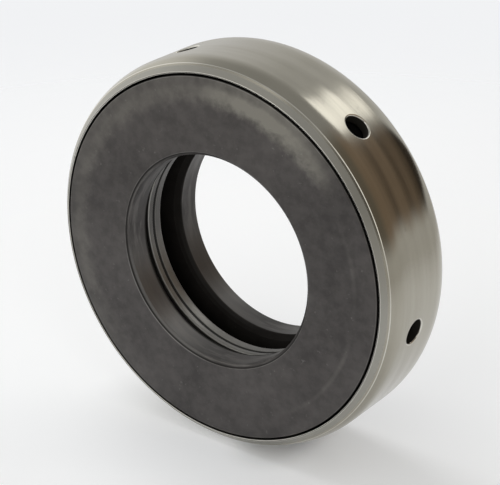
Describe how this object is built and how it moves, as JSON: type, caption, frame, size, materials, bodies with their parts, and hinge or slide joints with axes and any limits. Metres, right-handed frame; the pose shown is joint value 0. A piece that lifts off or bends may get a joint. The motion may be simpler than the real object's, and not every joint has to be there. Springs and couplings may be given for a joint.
{
  "type": "thrust ball bearing",
  "caption": "Single-direction thrust ball bearing: two grooved race washers and caged balls held together by a rolled steel band with oil holes.",
  "frame": {"origin": "centre of the lower seating face, on the thrust axis", "axes": "+Z along the thrust axis, from the housing washer towards the shaft washer"},
  "size_m": [0.056, 0.056, 0.016],
  "materials": {
    "race_steel": "hardened and dark phosphated, satin",
    "band_steel": "turned and polished steel, fine lines round it",
    "cage_steel": "pressed sheet steel, dull",
    "ball_steel": "polished bearing steel"
  },
  "bodies": {
    "housing": {"band": "band_steel", "housing_washer": "race_steel"},
    "shaft": {"shaft_washer": "race_steel"},
    "cage": {"cage": "cage_steel"},
    "ball_01": {"ball_01": "ball_steel"},
    "ball_02": {"ball_02": "ball_steel"},
    "ball_03": {"ball_03": "ball_steel"},
    "ball_04": {"ball_04": "ball_steel"},
    "ball_05": {"ball_05": "ball_steel"},
    "ball_06": {"ball_06": "ball_steel"},
    "ball_07": {"ball_07": "ball_steel"},
    "ball_08": {"ball_08": "ball_steel"},
    "ball_09": {"ball_09": "ball_steel"},
    "ball_10": {"ball_10": "ball_steel"},
    "ball_11": {"ball_11": "ball_steel"},
    "ball_12": {"ball_12": "ball_steel"},
    "ball_13": {"ball_13": "ball_steel"},
    "ball_14": {"ball_14": "ball_steel"}
  },
  "joints": [
    {"name": "shaft_spin", "type": "hinge", "parent": "housing", "child": "shaft", "pos_m": [0, 0, 0.008], "axis": [0, 0, 1], "continuous": true},
    {"name": "cage_orbit", "type": "hinge", "parent": "housing", "child": "cage", "pos_m": [0, 0, 0.008], "axis": [0, 0, 1], "continuous": true},
    {"name": "ball_01_roll", "type": "hinge", "parent": "cage", "child": "ball_01", "pos_m": [0.021, 0, 0.008], "axis": [1, 0, 0], "continuous": true},
    {"name": "ball_02_roll", "type": "hinge", "parent": "cage", "child": "ball_02", "pos_m": [0.01892, 0.00911, 0.008], "axis": [0.901, 0.4339, 0], "continuous": true},
    {"name": "ball_03_roll", "type": "hinge", "parent": "cage", "child": "ball_03", "pos_m": [0.01309, 0.01642, 0.008], "axis": [0.6235, 0.7818, 0], "continuous": true},
    {"name": "ball_04_roll", "type": "hinge", "parent": "cage", "child": "ball_04", "pos_m": [0.00467, 0.02047, 0.008], "axis": [0.2225, 0.9749, 0], "continuous": true},
    {"name": "ball_05_roll", "type": "hinge", "parent": "cage", "child": "ball_05", "pos_m": [-0.00467, 0.02047, 0.008], "axis": [-0.2225, 0.9749, 0], "continuous": true},
    {"name": "ball_06_roll", "type": "hinge", "parent": "cage", "child": "ball_06", "pos_m": [-0.01309, 0.01642, 0.008], "axis": [-0.6235, 0.7818, 0], "continuous": true},
    {"name": "ball_07_roll", "type": "hinge", "parent": "cage", "child": "ball_07", "pos_m": [-0.01892, 0.00911, 0.008], "axis": [-0.901, 0.4339, 0], "continuous": true},
    {"name": "ball_08_roll", "type": "hinge", "parent": "cage", "child": "ball_08", "pos_m": [-0.021, 0, 0.008], "axis": [-1, 0, 0], "continuous": true},
    {"name": "ball_09_roll", "type": "hinge", "parent": "cage", "child": "ball_09", "pos_m": [-0.01892, -0.00911, 0.008], "axis": [-0.901, -0.4339, 0], "continuous": true},
    {"name": "ball_10_roll", "type": "hinge", "parent": "cage", "child": "ball_10", "pos_m": [-0.01309, -0.01642, 0.008], "axis": [-0.6235, -0.7818, 0], "continuous": true},
    {"name": "ball_11_roll", "type": "hinge", "parent": "cage", "child": "ball_11", "pos_m": [-0.00467, -0.02047, 0.008], "axis": [-0.2225, -0.9749, 0], "continuous": true},
    {"name": "ball_12_roll", "type": "hinge", "parent": "cage", "child": "ball_12", "pos_m": [0.00467, -0.02047, 0.008], "axis": [0.2225, -0.9749, 0], "continuous": true},
    {"name": "ball_13_roll", "type": "hinge", "parent": "cage", "child": "ball_13", "pos_m": [0.01309, -0.01642, 0.008], "axis": [0.6235, -0.7818, 0], "continuous": true},
    {"name": "ball_14_roll", "type": "hinge", "parent": "cage", "child": "ball_14", "pos_m": [0.01892, -0.00911, 0.008], "axis": [0.901, -0.4339, 0], "continuous": true}
  ],
  "couplings": [
    {"joint": "cage_orbit", "follows": "shaft_spin", "ratio": 0.5},
    {"joint": "ball_01_roll", "follows": "shaft_spin", "ratio": -2.6455},
    {"joint": "ball_02_roll", "follows": "shaft_spin", "ratio": -2.6455},
    {"joint": "ball_03_roll", "follows": "shaft_spin", "ratio": -2.6455},
    {"joint": "ball_04_roll", "follows": "shaft_spin", "ratio": -2.6455},
    {"joint": "ball_05_roll", "follows": "shaft_spin", "ratio": -2.6455},
    {"joint": "ball_06_roll", "follows": "shaft_spin", "ratio": -2.6455},
    {"joint": "ball_07_roll", "follows": "shaft_spin", "ratio": -2.6455},
    {"joint": "ball_08_roll", "follows": "shaft_spin", "ratio": -2.6455},
    {"joint": "ball_09_roll", "follows": "shaft_spin", "ratio": -2.6455},
    {"joint": "ball_10_roll", "follows": "shaft_spin", "ratio": -2.6455},
    {"joint": "ball_11_roll", "follows": "shaft_spin", "ratio": -2.6455},
    {"joint": "ball_12_roll", "follows": "shaft_spin", "ratio": -2.6455},
    {"joint": "ball_13_roll", "follows": "shaft_spin", "ratio": -2.6455},
    {"joint": "ball_14_roll", "follows": "shaft_spin", "ratio": -2.6455}
  ]
}
